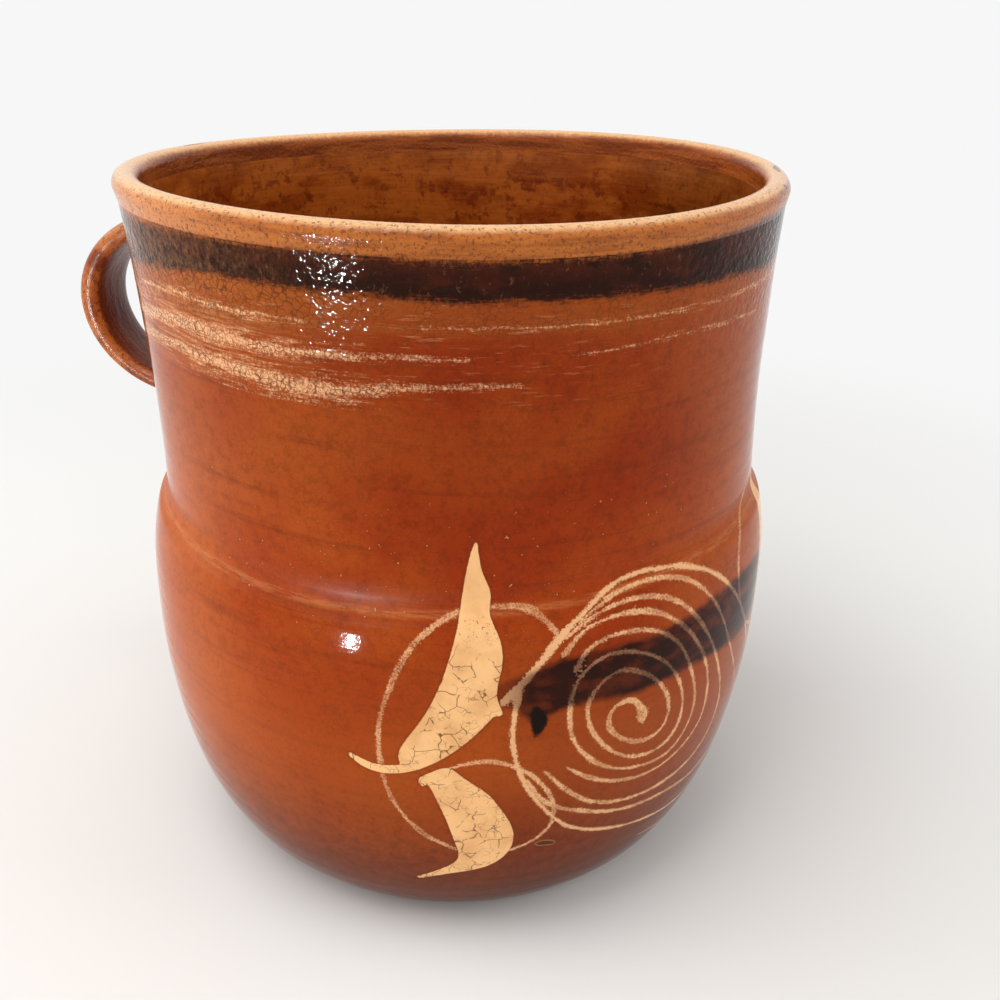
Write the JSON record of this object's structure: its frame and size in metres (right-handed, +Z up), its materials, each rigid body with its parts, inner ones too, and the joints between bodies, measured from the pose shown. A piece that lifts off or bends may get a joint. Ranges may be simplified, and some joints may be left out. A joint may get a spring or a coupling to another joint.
{
  "type": "clay pitcher",
  "caption": "Wide-mouthed glazed redware pitcher with a raised neck, a rolled lip and a strap handle, for holding and serving liquids.",
  "frame": {"origin": "middle of the flat underside, on the pot's axis", "axes": "+Z up along the pot's axis, -X towards the handle, +Y square to both"},
  "size_m": [0.2012, 0.174, 0.1904],
  "materials": {
    "bowl_glaze": "glossy orange-brown lead glaze over red clay, with cream and dark brown slip painting",
    "neck_glaze": "glossy orange-brown glaze with a dark brown band and dry-brushed cream wheel streaks",
    "lip_glaze": "thin ochre glaze, worn and pitted along the edge",
    "strap_glaze": "glossy brown-orange glaze",
    "luting_glaze": "glossy brown-orange glaze over smoothed wet clay"
  },
  "bodies": {
    "root": {"lower_bowl": "bowl_glaze", "neck_wall": "neck_glaze", "rim_lip": "lip_glaze", "handle": "strap_glaze", "upper_luting": "luting_glaze", "lower_luting": "luting_glaze"}
  },
  "joints": []
}
